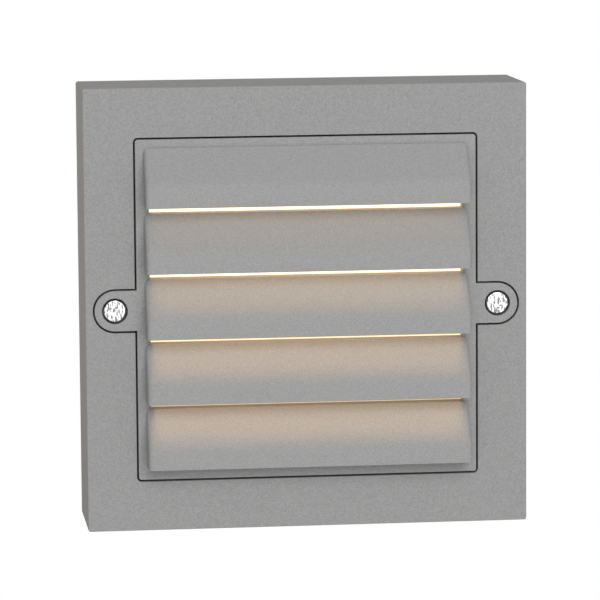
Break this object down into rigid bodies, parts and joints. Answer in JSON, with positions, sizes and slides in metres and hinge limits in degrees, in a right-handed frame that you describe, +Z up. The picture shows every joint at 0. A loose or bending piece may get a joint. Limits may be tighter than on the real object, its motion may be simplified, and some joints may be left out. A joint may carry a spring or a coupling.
{
  "type": "step light",
  "caption": "Square wall-mounted step light with a flush louvred cover that throws light down, held by a screw in an ear on each side.",
  "frame": {"origin": "centre of the rear face, on the wall", "axes": "+Y into the wall, +Z up, +X to the right of someone who faces the light"},
  "size_m": [0.14, 0.0441, 0.14],
  "materials": {
    "grey_coat": "satin",
    "grey_sheet": "satin",
    "warm_foam": "matte",
    "dark_rubber": "matte",
    "frosted_glass": "frosted",
    "bright_steel": "satin",
    "pad_grey": "matte",
    "board_white": "gloss",
    "lamp_yellow": "gloss",
    "white_plastic": "matte",
    "white_case": "matte",
    "clear_plastic": "satin",
    "brass": "satin",
    "tinned": "satin",
    "wire_blue": "satin",
    "wire_brown": "satin",
    "wire_green": "satin",
    "wire_red": "satin",
    "wire_black": "satin"
  },
  "bodies": {
    "housing": {"housing": "grey_coat", "wall_seal": "warm_foam", "cable_grommet": "dark_rubber", "diffuser_glass": "frosted_glass", "glass_seal": "dark_rubber", "thermal_pad": "pad_grey", "led_board": "board_white", "led_chips": "lamp_yellow", "led_board_screws": "bright_steel", "led_connector": "white_plastic", "reflector": "white_plastic", "reflector_screws": "bright_steel", "driver": "white_case", "driver_screws": "bright_steel", "terminal_block": "clear_plastic", "terminal_inserts": "brass", "terminal_clamp_screws": "bright_steel", "terminal_block_screws": "bright_steel", "gear_cover": "grey_sheet", "gear_cover_screws": "bright_steel", "earth_lug": "tinned", "earth_screw": "bright_steel", "neutral_wire": "wire_blue", "line_wire": "wire_brown", "earth_wire": "wire_green", "led_wire_positive": "wire_red", "led_wire_negative": "wire_black"},
    "cover": {"louvre_cover": "grey_coat", "screw_washers": "dark_rubber"},
    "screw_left": {"cover_screw_left": "bright_steel"},
    "screw_right": {"cover_screw_right": "bright_steel"}
  },
  "joints": [
    {"name": "cover_lift", "type": "slide", "parent": "housing", "child": "cover", "axis": [0, -1, 0], "range_m": [0, 0.06]},
    {"name": "screw_left_turn", "type": "hinge", "parent": "cover", "child": "screw_left", "pos_m": [-0.0607, -0.03, 0], "axis": [0, -1, 0], "continuous": true},
    {"name": "screw_right_turn", "type": "hinge", "parent": "cover", "child": "screw_right", "pos_m": [0.0607, -0.03, 0], "axis": [0, -1, 0], "continuous": true}
  ]
}
